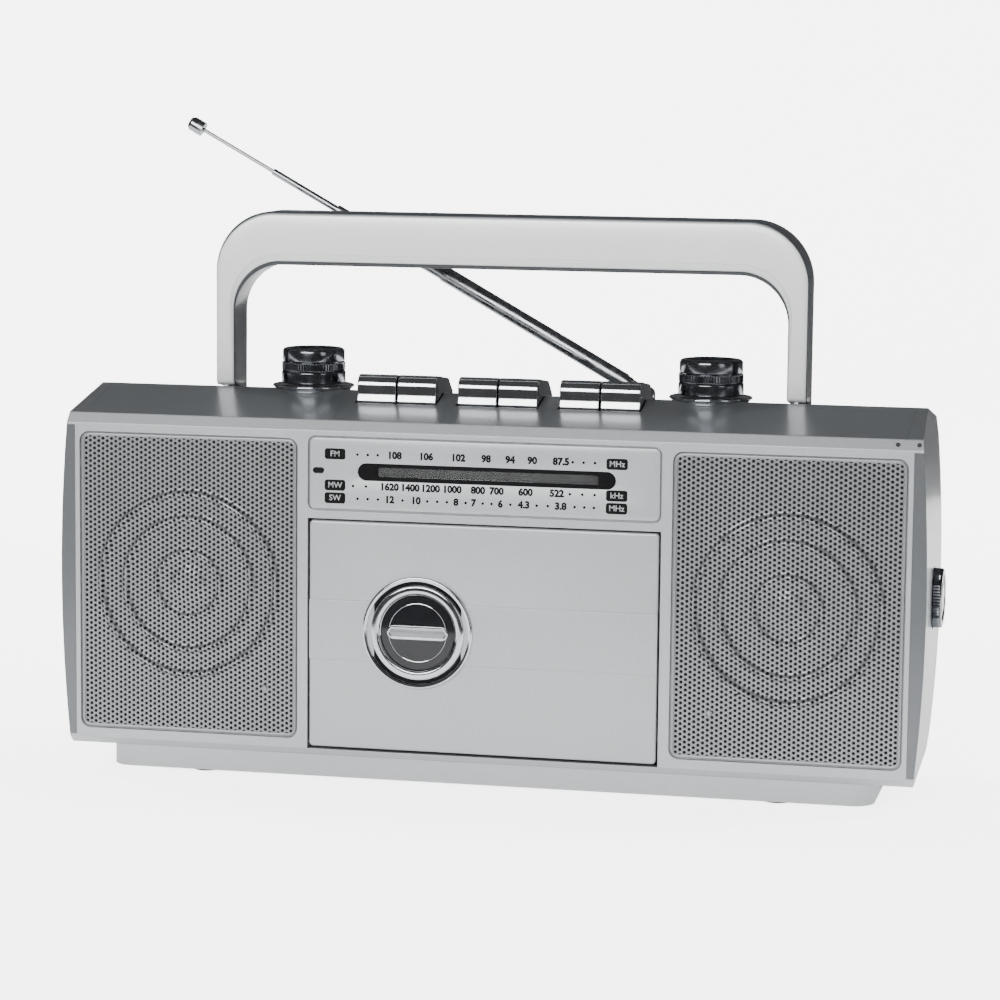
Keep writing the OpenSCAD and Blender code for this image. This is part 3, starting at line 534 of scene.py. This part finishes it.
def grille(side, centre_x, rivet):
    """Punched sheet, its rolled rim and the rivet near one lower corner, with cloth close behind."""
    rim = rolled_rim(GRILLE_W / 2, GRILLE_H / 2, GRILLE_R, SHEET_Y, 1.2, 0.25)
    dome = np.vstack([[RIVET_R, -0.3], arc((0, 0), RIVET_R, 0, 90, 7) * (1, 0.6)])
    dome = facing(turned(dome, 24), (rivet[0] - centre_x, SHEET_Y, rivet[1] - GRILLE_Z), "front")
    points, faces = together(punched_sheet(), rim, dome)
    shape = points + np.array([centre_x, 0, GRILLE_Z]), faces
    piece(f"grille_sheet_{side}", shape, "grille_steel", "cabinet", (f"grille_{side}",), 50)
    u, v = np.meshgrid(np.linspace(-1, 1, 31), np.linspace(-1, 1, 41), indexing="ij")
    x, z = u * (GRILLE_W / 2 - 1), v * (GRILLE_H / 2 - 1)
    front = np.stack([x + centre_x, SHEET_Y + CLOTH_GAP - pressed(x, z), z + GRILLE_Z], -1)
    back = front + np.array([0, CLOTH_THICK, 0])
    flat = together(surface(front), surface(back[::-1]))
    piece(f"speaker_cloth_{side}", flat, "cone_paper", "cabinet", material=cloth_black)


grille("left", -GRILLE_X, (-90.7, 37.6))
grille("right", GRILLE_X, (92.8, 36.7))


# ---------------------------------------------------------------- handle

HANDLE_HALF, HANDLE_TOP = 123.7, 229.8
LEG_W, BAR_H = 8.1, 22.0          # widths of a leg and of the bar, seen from the front
HANDLE_FRONT, HANDLE_BACK = -4.0, 16.0
TOE_Z, TOE_R = 159.7, 2.5         # height and radius of the rounding between the front and the sole
OUTER_R, INNER_R = 25.0, 20.0     # the upper corners' outer and inner bends
# the body's dark and the face's pale are painted shade and painted light on one silver lacquer
BODY_R, FACE_R = 1.6, 0.7         # corners of the dark body's section and of the pale face's
BODY_BACK = 1.0                   # the body starts this far behind the face
COVER_FALL = 7.5 / 43             # slope of the cover behind its crest


def grip_lines():
    """Outer and inner line of the handle from one foot to the other, and the front edge's y along them.

    Both lines climb the leg, turn through a quarter circle (r 25 outside, 20 inside) and run along the bar. The
    front edge comes from the foot: a line parallel to the cover, a toe of radius 2.5, then the plane y = -4.
    """
    tangent = math.pi + math.atan(1 / COVER_FALL)
    low_y, low_z = HANDLE_FRONT + TOE_R + TOE_R * math.cos(tangent), TOE_Z + TOE_R * math.sin(tangent)
    front = np.linspace(HANDLE_BACK - 3.0, low_y, 6)[:-1]
    foot = np.column_stack([front, low_z - COVER_FALL * (front - low_y)])
    foot = np.vstack([foot, arc((HANDLE_FRONT + TOE_R, TOE_Z), TOE_R, math.degrees(tangent), 180, 7)])
    leg = np.linspace(0, 1, 7)[1:-1]
    turn = np.radians(np.linspace(180, 90, 25))
    grip = np.linspace(0, 1, 13)[1:]
    lines = []
    for half, r, top in ((HANDLE_HALF, OUTER_R, HANDLE_TOP), (HANDLE_HALF - LEG_W, INNER_R, HANDLE_TOP - BAR_H)):
        start = top - r
        x = np.concatenate([np.full(len(foot) + len(leg), -half), -half + r + r * np.cos(turn),
                            (-half + r) * (1 - grip)])
        z = np.concatenate([foot[:, 1], TOE_Z + leg * (start - TOE_Z), start + r * np.sin(turn),
                            np.full(len(grip), top)])
        lines.append(np.column_stack([x, z]))
    near = np.concatenate([foot[:, 0], np.full(len(x) - len(foot), HANDLE_FRONT)])
    mirror = np.array([-1, 1])
    outer, inner = (np.vstack([p, p[-2::-1] * mirror]) for p in lines)
    return outer, inner, np.concatenate([near, near[-2::-1]])[:, None]


def lofted(outer, inner, s, y):
    """Closed loft: section point j of station i lies s_ij along the line from outer to inner, at depth y_ij."""
    span = inner - outer
    span = span / np.linalg.norm(span, axis=1, keepdims=True)
    p = outer[:, None] + span[:, None] * s[:, :, None]
    points, faces = surface(np.stack([p[..., 0], y, p[..., 1]], -1), wrap_v=True)
    count = s.shape[1]
    return points, faces + [list(range(count))[::-1], list(range(len(points) - count, len(points)))]


def grip_body():
    """Rear of the handle, in the dark copy of its lacquer that paints shade on it: a rectangle whose rear corners are
    arcs of BODY_R and whose front ones are flatter.
    """
    outer, inner, near = grip_lines()
    length = np.linalg.norm(inner - outer, axis=1, keepdims=True)
    t = np.radians(np.linspace(0, 90, 5))
    side, face = BODY_R * (1 - np.cos(t)) + 0 * length, BODY_R * (1 - np.sin(t)) + 0 * length
    front = near + BODY_BACK + 0.5 * face
    s = np.hstack([side, length - side[:, ::-1], length - side, side[:, ::-1]])
    y = np.hstack([front, front[:, ::-1], HANDLE_BACK - face, HANDLE_BACK - face[:, ::-1]])
    return lofted(outer, inner, s, y)


def grip_face():
    """Face of the handle, in the pale copy of its lacquer that paints light on it, 1.6 mm thick, set in from the
    shaded body's edges.

    On the bar, k = 1, its top 8 mm falls back by 0.45 (1 - s / 8)^2, and its foot is a fine groove and a lip
    that slopes back 0.5 mm; both fade out down the leg, k = 0.
    """
    outer, inner, near = grip_lines()
    stand = slice(5, -5)              # the face starts above the sloping sole
    outer, inner, near = outer[stand], inner[stand], near[stand]
    length = np.linalg.norm(inner - outer, axis=1, keepdims=True)
    k = np.clip((length - LEG_W) / (BAR_H - LEG_W), 0, 1)
    first, last = 0.35 + 0.75 * k, length - 0.3 - 1.2 * k
    t = np.radians(np.linspace(0, 90, 4))
    side, face = FACE_R * (1 - np.cos(t)), FACE_R * (1 - np.sin(t))
    bulge, lip = np.array([1.5, 3.0, 5.0, 8.0]), np.array([3.1, 2.8, 2.5])
    s = np.hstack([first + 0.2, first + side, first + 0.75 + (bulge - 0.75) * k, last - 0.8 - (lip - 0.8) * k,
                   last - side[::-1], last - 0.2])
    y = np.hstack([near + 1.6, near + face + 0.45 * k, near + 0.45 * k * (1 - bulge / 8) ** 2,
                   near + k * np.array([0.0, 0.4, 0.1]), near + face[::-1] + 0.5 * k, near + 1.6])
    return lofted(outer, inner, s, y)


# the handle is one silver lacquer, worn as a dark copy that paints shade on the body and a pale copy that paints light
# on the face
piece("grip_body", grip_body(), "silver_lacquer", "handle", ("carry_handle",), 40, grip_shaded_copy)
piece("grip_face", grip_face(), "silver_lacquer", "handle", (), 40, grip_lit_copy)


# ---------------------------------------------------------------- knobs, saucers and tuning wheel

KNOB_X, KNOB_Y = 83.7, 5.0
KNURLS = (72, 0.28, 11, 19)       # teeth, their depth, and the profile points between which they run


def knob():
    """Two smooth tiers with a knurled band of 72 teeth between them and a dished top, as one lathe profile."""
    profile = np.vstack([
        [(0, 158.7), (12.6, 158.7)], arc((12.8, 159.2), 0.5, -90, 0, 4),
        [(13.3, 163.0)], arc((12.9, 163.2), 0.4, 0, 90, 4),
        [(12.6, 163.7), (12.6, 163.9)], arc((12.85, 164.2), 0.35, -90, 0, 3), [(13.2, 164.6), (13.2, 166.8)],
        arc((12.85, 167.1), 0.35, 0, 90, 3), [(12.4, 167.5), (12.4, 167.8)], arc((12.6, 168.2), 0.3, -90, 0, 4),
        [(12.9, 170.6)], arc((11.5, 171.8), 1.4, 0, 90, 7), [(10.6, 173.2)], arc((10.3, 172.9), 0.3, 90, 180, 4),
        [(9.7, 172.5), (0, 172.1)]])
    return turned(profile, 4 * KNURLS[0], KNURLS)


for body, x in (("volume", -KNOB_X), ("band", KNOB_X)):
    piece(f"{body}_turning_knob", facing(knob(), (x, KNOB_Y, 0), "up"), "dark_chrome", body, (f"{body}_knob",), 35)

# half section of a saucer: a raised lip round a flat that the knob hovers over, and a skirt into the cover
saucer = np.vstack([
    [(5.0, 157.9), (13.7, 157.9)], arc((14.2, 158.3), 0.4, -90, -20, 4), [(16.2, 158.15)],
    arc((16.5, 157.6), 0.5, 100, -60, 8),
    [(15.6, 156.3), (15.4, 155.8), (15.4, 152.5), (15.0, 151.0), (5.0, 151.0), (5.0, 157.9)]])
pair = together(*(facing(turned(saucer, 128), (x, KNOB_Y, 0), "up") for x in (-KNOB_X, KNOB_X)))
piece("knob_saucer_pair", pair, "chromed_plastic", "cabinet", ("knob_saucers",), 35)


# ---------------------------------------------------------------- keys

KEY_W, KEY_PAIR_PITCH = 16.3, 42.2
KEY_HALF_GAP, KEY_EDGE = 0.3, 0.45  # half the gap within a pair; rounding of a key's ends


def key_outline():
    """Y-Z profile, anticlockwise seen from +X: a lip that leans back 19 degrees at the foot, an upright front face,
    a 4.6 mm front corner, and a top that falls to the rear."""
    return np.vstack([
        [(-18.9, 151.6), (11.5, 151.2)], arc((11.3, 156.0), 0.7, -10, 60, 4), arc((4.2, 161.5), 0.8, 55, 80, 4),
        arc((-13.7, 160.0), 4.6, 88, 180, 16), [(-18.3, 157.0), (-18.2, 156.6), (-18.95, 154.4), (-18.98, 153.6)]])


for n, name in enumerate(KEY_NAMES):
    x0 = KEY_PAIR_PITCH * (n // 2 - 1) + (KEY_HALF_GAP if n % 2 else -KEY_W - KEY_HALF_GAP)
    shape = soft_bar(key_outline(), x0, x0 + KEY_W, KEY_EDGE)
    piece(f"piano_key_{name}", shape, "chromed_plastic", f"key_{name}", (f"key_{name}",), 30)


# ---------------------------------------------------------------- cassette door

DOOR = (-71.6, 71.6, 14.7, 107.7)  # left, right, lower and upper edge
DOOR_Y, BAND_Y = -44.2, -44.6     # faces of the door and of the band that stands proud across it
BAND = (50.8, 75.4)               # lower and upper edge of the band
BAND_REACH = 18.0                 # the band stops this far from the eye's middle, under its ring


def round_eye(profile, segments, y):
    """Lathe work about the eye's axis, with the profile's zero height at depth y."""
    return facing(turned(profile, segments), (EYE[0], y, EYE[1]), "front")


eye_hole = arc(EYE, 16.9, 0, 360, 97)[:-1]
door_parts = [plate([box_outline(*DOOR, 1.6), eye_hole], DOOR_Y, -41.3, 0.9)]
for x0, x1 in ((DOOR[0] + 0.05, EYE[0] - BAND_REACH), (EYE[0] + BAND_REACH, DOOR[1] - 0.05)):
    door_parts.append(plate([box_outline(x0, x1, *BAND, 0.5)], BAND_Y, -43.0, 0.3))
piece("deck_door", together(*door_parts), "silver_lacquer", "door", ("cassette_door",), 40)

# rim, a groove 1.5 mm wide whose floor is painted black as shade, then the broad inner ring round the glass
ring = np.vstack([
    [(22.9, 0.0), (22.9, 0.35)], arc((22.1, 0.5), 0.8, 0, 100, 8), [(21.1, 1.15), (20.9, -0.1), (19.4, -0.1)],
    arc((18.4, 0.2), 1.0, 10, 90, 6), arc((16.7, 0.4), 0.8, 90, 170, 6),
    [(15.4, 0.1), (15.2, -0.8), (22.9, -0.3), (22.9, 0.0)]])
piece("door_eye_ring", round_eye(ring, 160, DOOR_Y), "chromed_plastic", "door", ("door_ring",), 35)
floor = np.array([(20.85, -0.05), (20.85, 0.15), (19.45, 0.15), (19.45, -0.05), (20.85, -0.05)])
# painted shade: a black ring on the groove's floor stands in for the dark that the plated groove shows
piece("eye_groove_painted_shade", round_eye(floor, 128, DOOR_Y), "black_plastic", "door", material=mask_black)

# the glass is a shallow dome: its face falls by 0.35 (r / 16)^2
GLASS_R = 15.1
dome = [(r, 0.55 - 0.35 * (r / 16) ** 2) for r in np.linspace(2, GLASS_R, 10)]
glass = np.vstack([[(0, 0.55)], dome, [(GLASS_R, -1.2), (0, -1.2)]])
piece("door_eye_glass", round_eye(glass, 96, -44.0), "smoked_lens", "door", ("door_window",), 35)

# a thin hoop and a plain bar with a plated edge stand where the photo has its badge
hoop = round_eye(arc((11.9, 0.35), 0.16, 0, 360, 9), 96, -44.05)
badge = plate([pill_outline(EYE, 12.6, 2.85), pill_outline(EYE, 11.4, 1.75)], -44.95, -44.3, 0.25, 2)
piece("eye_trim", together(hoop, badge), "chromed_plastic", "door")
piece("eye_badge_field", plate([pill_outline(EYE, 11.5, 1.85)], -44.75, -44.35, 0.1, 1), "grille_steel", "door")


# ---------------------------------------------------------------- dial

PANEL = (-71.7, 71.7, 112.4, 141.3)  # left, right, lower and upper edge
SLOT = (1.1, 127.9)               # middle of the dial window, x and z
FACE_Y = -43.78                   # face of the print, a hair in front of the fascia
FM_Z, MW_Z, SW_Z, DIGIT = 134.8, 122.0, 116.9, 2.7
DIGIT_BOLD, UNIT_BOLD = 0.2, 0.03
BOX_X, BOX_RIGHT_X, BOX_HALF_W, BOX_HALF_H, BOX_LETTER = -61.1, 54.3, 4.3, 2.2, 2.3

# the fascia has a pill-shaped slot; behind it a black surround leaves a long window, and the glass lies behind that
fascia = plate([box_outline(*PANEL, 2.4), pill_outline(SLOT, 52.7, 3.45)], -43.75, -42.3, 0.35, 2)
surround = plate([pill_outline(SLOT, 52.9, 3.7), box_outline(-43.3, 46.8, 126.0, 129.8, 0.8)], -43.55, -42.35, 0.15, 1)
pane = plate([box_outline(-43.6, 47.1, 125.7, 130.1, 0.8)], -43.2, -42.6, 0.1, 1)
piece("dial_fascia", fascia, "silver_lacquer", "cabinet", ("dial_panel",), 40)
piece("dial_surround", surround, "black_plastic", "cabinet", material=mask_black)
piece("dial_glass", pane, "clear_lens", "cabinet", ("dial_lens",))

# each row of the scale: its height, its numbers with the x of their middles, and the x of its dots
SCALE = (
    (FM_Z, (("108", -36.4), ("106", -23.4), ("102", -10.2), ("98", 1.2), ("94", 11.0), ("90", 20.0), ("87.5", 31.7)),
     (-51.8, -47.5, -43.4, 36.4, 40.8, 45.4)),
    (MW_Z, (("1620", -38.5), ("1400", -29.9), ("1200", -21.5), ("1000", -12.6), ("800", -2.0), ("700", 5.6),
            ("600", 17.4), ("522", 30.1)),
     (-53.6, -48.2, 35.4, 40.4, 45.4)),
    (SW_Z, (("12", -38.4), ("10", -27.5), ("8", -11.0), ("7", -3.8), ("6", 7.2), ("4.3", 16.8), ("3.8", 31.7)),
     (-51.7, -47.5, -43.2, -33.0, -22.8, -18.7, -14.7, -7.0, 0.0, 3.6, 11.3, 22.0, 26.5, 37.4, 41.3, 45.2)),
)
numbers = [(text, x, z, DIGIT, FACE_Y) for z, row, _ in SCALE for text, x in row]
boxes = (("FM", BOX_X, FM_Z), ("MW", BOX_X, MW_Z + 0.1), ("SW", BOX_X, SW_Z),
         ("MHz", BOX_RIGHT_X, FM_Z - 0.2), ("kHz", BOX_RIGHT_X, MW_Z), ("MHz", BOX_RIGHT_X, SW_Z))
dot, dot_faces = facing(turned([(0, 0), (0.55, 0), (0.55, -0.04), (0, -0.04)], 12), (0, FACE_Y, 0), "front")
printed = [lettering(numbers, DIGIT_BOLD)]
printed += [(dot + np.array([x, 0, z]), dot_faces) for z, _, row in SCALE for x in row]
printed += [plate([box_outline(x - BOX_HALF_W, x + BOX_HALF_W, z - BOX_HALF_H, z + BOX_HALF_H, 1.0)],
                  FACE_Y, FACE_Y + 0.05, 0.01, 0) for _, x, z in boxes]
piece("dial_print_black", together(*printed), None, "cabinet", material=black_ink)
lamp = plate([pill_outline((-68.0, SLOT[1]), 2.4, 1.3)], -43.95, -43.6, 0.15, 2)
piece("stereo_lamp", lamp, "smoked_lens", "cabinet")
units = lettering([(text, x, z, BOX_LETTER, FACE_Y - 0.04) for text, x, z in boxes], UNIT_BOLD)
piece("dial_print_silver", units, None, "cabinet", material=silver_ink)


# ---------------------------------------------------------------- tuning wheel

WHEEL_X = 175.2                   # inner face of the wheel
TEETH = (60, 0.45, 3, 9)          # teeth, their depth, and the profile points between which they run


def wheel():
    """Thumb wheel with a toothed rim, a rounded outer edge and a hub ring on its face, as one lathe profile."""
    profile = np.vstack([
        [(3.0, 0.0), (11.4, 0.0)], arc((11.5, 0.5), 0.5, -90, 0, 4), [(12.0, 3.8)], arc((11.0, 4.2), 1.0, 0, 90, 6),
        [(9.6, 5.1), (9.2, 4.7), (6.0, 4.6), (5.6, 5.0), (0, 5.3)]])
    return turned(profile, 4 * TEETH[0], TEETH)


wheel_low, wheel_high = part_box("tuning_wheel")
hub = (WHEEL_X, 0, (wheel_low.z + wheel_high.z) / 2 / MM)
stem = turned([(0, -14.7), (3, -14.7), (3, 0.1), (0, 0.1)], 32)
piece("tuning_thumbwheel", together(facing(wheel(), hub, "right"), facing(stem, hub, "right")), "dark_chrome",
      "tuner", ("tuning_wheel",), 35)

# pilot lamp and the microphone's mouth: two low black domes at the right of the front chamfer
lamp = np.vstack([[(0.9, -0.4)], arc((0, 0), 0.9, 0, 90, 6) * (1, 0.5)])
for name, x in (("pilot_lamp", 173.0), ("microphone_mouth", 164.7)):
    piece(name, facing(turned(lamp, 20), (x, -42.9, 146.1), "front"), "black_plastic", "cabinet")


# ---------------------------------------------------------------- floor, light and camera, all in metres

PAPER_HALF = 8.0                  # half the width of the paper
PAPER_NEAR, PAPER_FAR = -0.42, 1.0  # the floor between these shows in the plated parts
PAPER_SEEN = 4.0                  # emission of the paper as the camera sees it
WALL_BEND, WALL_TOP = 1.2, 5.0    # radius of the bend from the floor into the wall, and the wall's height


def paper(name, outline, mirrored, glow):
    """White backdrop paper swept along X from a Y-Z line of points; glow is its emission in other rays.

    Paper that isn't mirrored stays out of the plated parts, so that they keep their dark bands.
    """
    line = np.asarray(outline, float)
    grid = np.stack([np.column_stack([np.full(len(line), x), line]) for x in (-PAPER_HALF, PAPER_HALF)])
    points, faces = surface(grid)
    mesh = bpy.data.meshes.new(name)
    mesh.from_pydata(points.tolist(), [], faces)
    mesh.shade_smooth()
    made = bpy.data.objects.new(name, mesh)
    bpy.context.scene.collection.objects.link(made)
    material, tree, place = blank(f"{name}_white")
    tooth = add(tree, "TexNoise", {"Vector": place, "Scale": per_mm(3.0), "Detail": 3.0}).outputs[0]
    # seen directly the paper glows a little, so the backdrop stays white under the part's own shadow
    seen = add(tree, "LightPath").outputs["Is Camera Ray"]
    close(tree, {"Base Color": tinted(tree, tooth, "#F4F4F4", "#FAFAFA"),
                 "Emission Strength": ranged(tree, seen, glow, PAPER_SEEN)},
          Roughness=0.9, Emission_Color=(1, 1, 1, 1))
    mesh.materials.append(material)
    made.visible_glossy = mirrored


def studio_air():
    """World: white to the camera, soft grey to matt surfaces and a darker grey to mirrors."""
    world = bpy.data.worlds.new("studio_air")
    bpy.context.scene.world = world
    world.use_nodes = True
    tree = world.node_tree
    tree.nodes.clear()
    path = add(tree, "LightPath")
    soft = add(tree, "Mix", {0: path.outputs["Is Glossy Ray"], 6: (0.17, 0.17, 0.175, 1), 7: (0.09, 0.09, 0.093, 1)},
               data_type="RGBA")
    seen = add(tree, "Mix", {0: path.outputs["Is Camera Ray"], 6: soft.outputs[2], 7: (1, 1, 1, 1)}, data_type="RGBA")
    air = add(tree, "Background", {"Color": seen.outputs[2]})
    add(tree, "OutputWorld", {"Surface": air.outputs[0]})


def softbox(name, place, aim, width, height, watts, mirrored=True):
    """Rectangular area light whose -Z points at aim; mirrored says whether plated parts show it."""
    lamp_data = bpy.data.lights.new(name, "AREA")
    lamp_data.shape, lamp_data.size, lamp_data.size_y, lamp_data.energy = "RECTANGLE", width, height, watts
    made = bpy.data.objects.new(name, lamp_data)
    bpy.context.scene.collection.objects.link(made)
    back = np.array(place, float) - np.array(aim, float)
    back /= np.linalg.norm(back)
    side = np.cross([0, 0, 1], back)
    side /= np.linalg.norm(side)
    made.matrix_world = Matrix(np.vstack([np.column_stack([side, np.cross(back, side), back, place]), [0, 0, 0, 1]]))
    made.visible_glossy = mirrored


bend = arc((1.6, WALL_BEND), WALL_BEND, -90, 0, 25)
paper("near_paper", [(PAPER_NEAR, 0), (PAPER_FAR, 0)], True, 0.7)
paper("front_paper", [(-PAPER_HALF, 0), (PAPER_NEAR, 0)], False, 0.1)
paper("back_paper", np.vstack([[(PAPER_FAR, 0)], bend, [(1.6 + WALL_BEND, WALL_TOP)]]), False, 0.1)
# the key light from the front left, a weak fill, a top light, and two that wash the wall behind
softbox("key_softbox", (-0.45, -1.95, 0.95), (0, 0, 0.1), 1.5, 1.0, 47)
softbox("fill_softbox", (1.5, -1.3, 0.6), (0, 0, 0.1), 0.6, 1.1, 3.5)
softbox("top_softbox", (0.0, 0.2, 1.8), (0, 0.1, 0), 1.6, 1.2, 9, False)
softbox("wall_softbox_left", (-1.6, 0.8, 1.3), (0.2, 2.4, 0.3), 1.2, 1.0, 75, False)
softbox("wall_softbox_right", (1.6, 0.8, 1.3), (-0.2, 2.4, 0.3), 1.2, 1.0, 75, False)
studio_air()

# the photo's view: turned right to left by YAW, looking down by PITCH, rolled by ROLL
YAW, PITCH, ROLL = math.radians(12.36), math.radians(7.42), math.radians(0.58)
CAMERA_AT = (0.287318, -1.322735, 0.289142)
FOCAL_MM, SENSOR_MM = 119.19, 36.0
right = np.array([math.cos(YAW), math.sin(YAW), 0])
ahead = np.array([-math.sin(YAW), math.cos(YAW), 0])
up = np.array([0, 0, 1.0])
forward = ahead * math.cos(PITCH) - up * math.sin(PITCH)
above = up * math.cos(PITCH) + ahead * math.sin(PITCH)
rolled_right = right * math.cos(ROLL) + above * math.sin(ROLL)
rolled_up = above * math.cos(ROLL) - right * math.sin(ROLL)
lens = bpy.data.cameras.new("studio_camera")
lens.sensor_width, lens.lens, lens.clip_end = SENSOR_MM, FOCAL_MM, 20.0
camera = bpy.data.objects.new("studio_camera", lens)
bpy.context.scene.collection.objects.link(camera)
camera.matrix_world = Matrix(np.vstack([
    np.column_stack([rolled_right, rolled_up, -forward, CAMERA_AT]), [0, 0, 0, 1]]))
bpy.context.scene.camera = camera
